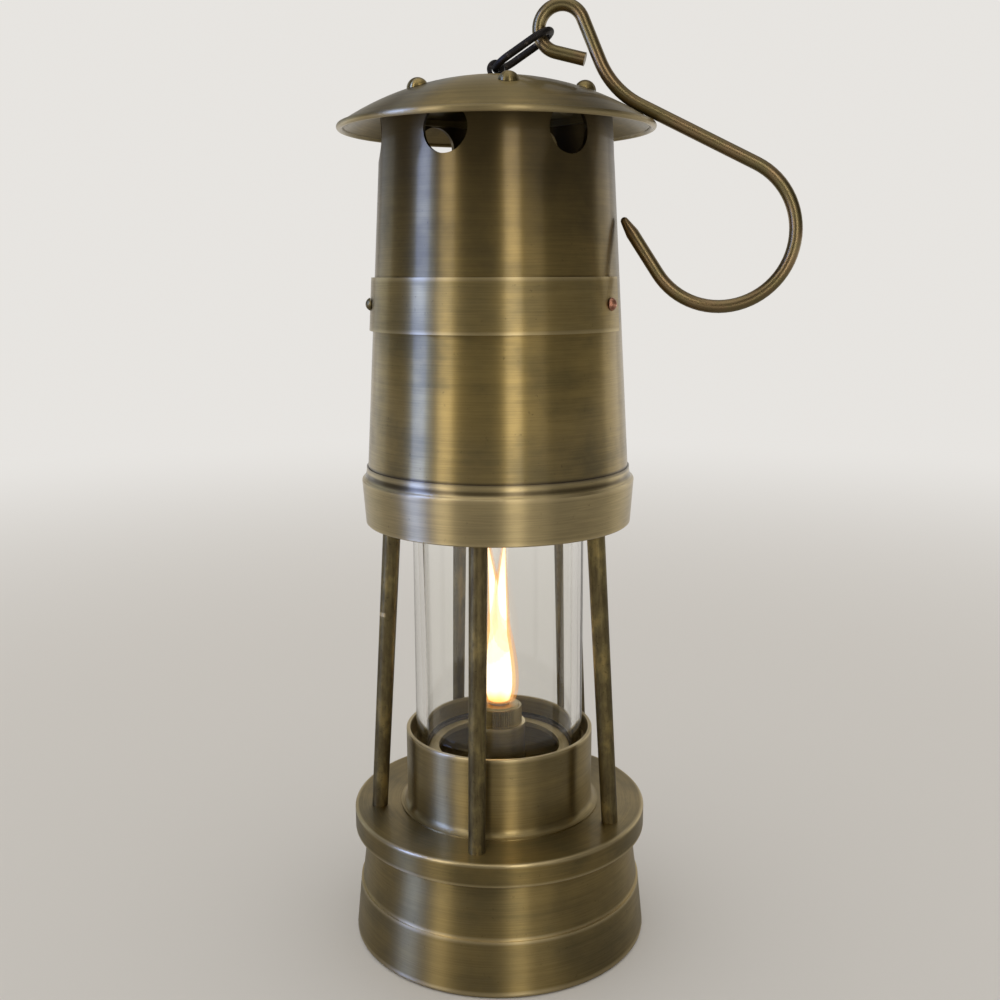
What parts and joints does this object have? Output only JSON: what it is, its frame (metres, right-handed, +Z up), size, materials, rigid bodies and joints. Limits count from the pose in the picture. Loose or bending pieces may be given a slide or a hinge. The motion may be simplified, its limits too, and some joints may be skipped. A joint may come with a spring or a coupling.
{
  "type": "miners lamp",
  "caption": "Miners safety lamp with an oil vessel, round glass in a pillar cage, tall tapered bonnet with domed cap, and a long hanging hook.",
  "frame": {"origin": "centre of the vessel's flat underside, on the lamp's axis", "axes": "+Z up along the lamp's axis; the bare name band and one pillar face -Y; the hook hangs over towards +X"},
  "size_m": [0.1275, 0.0882, 0.2703],
  "materials": {
    "brass": "aged, brushed round the lamp, satin",
    "brass_bright": "aged, brushed, worn brighter",
    "brass_dark": "dark streaky patina",
    "brass_hook": "bronze-brown patina, satin",
    "copper": "dull copper",
    "iron": "black, oily",
    "gauze": "woven wire",
    "gasket": "matte",
    "wick": "woven cotton",
    "glass": "clear"
  },
  "bodies": {
    "vessel": {"oil_cup": "brass", "tank_top": "brass", "sealing_washer": "gasket"},
    "burner": {"burner_tube": "brass_bright", "wick_holder": "brass_bright"},
    "wick": {"wick": "wick"},
    "cage": {"foot_ring": "brass", "base_plate": "brass", "glass_seat": "brass", "glass_ledge": "brass_bright", "lower_gasket": "gasket", "glass": "glass", "pillar_1": "brass_dark", "pillar_2": "brass_dark", "pillar_3": "brass_dark", "pillar_4": "brass_dark", "pillar_5": "brass_dark", "deck": "brass", "upper_gasket": "gasket", "collar": "brass", "gauze_ring": "brass_bright", "gauze": "gauze", "bonnet_tube": "brass", "bonnet_cap": "brass", "cap_stay": "brass_dark", "cap_rivets": "brass_dark", "name_band": "brass_bright", "band_rivets": "copper"},
    "swivel": {"swivel_eye": "iron", "swivel_washer": "iron"},
    "link": {"link": "iron"},
    "hook": {"hook": "brass_hook"}
  },
  "joints": [
    {"name": "cage_lift", "type": "slide", "parent": "vessel", "child": "cage", "axis": [0, 0, 1], "range_m": [0, 0.065]},
    {"name": "burner_lift", "type": "slide", "parent": "vessel", "child": "burner", "axis": [0, 0, 1], "range_m": [0, 0.01]},
    {"name": "wick_raise", "type": "slide", "parent": "burner", "child": "wick", "axis": [0, 0, 1], "range_m": [0, 0.003]},
    {"name": "eye_swivel", "type": "hinge", "parent": "cage", "child": "swivel", "pos_m": [0, 0, 0.2504], "axis": [0, 0, 1], "continuous": true},
    {"name": "link_swing", "type": "hinge", "parent": "swivel", "child": "link", "pos_m": [0, 0, 0.2524], "axis": [0, -1, 0], "range_deg": [0, 115]},
    {"name": "hook_swing", "type": "hinge", "parent": "link", "child": "hook", "pos_m": [0.01489, 0, 0.26178], "axis": [0, -1, 0], "range_deg": [0, 100]}
  ]
}
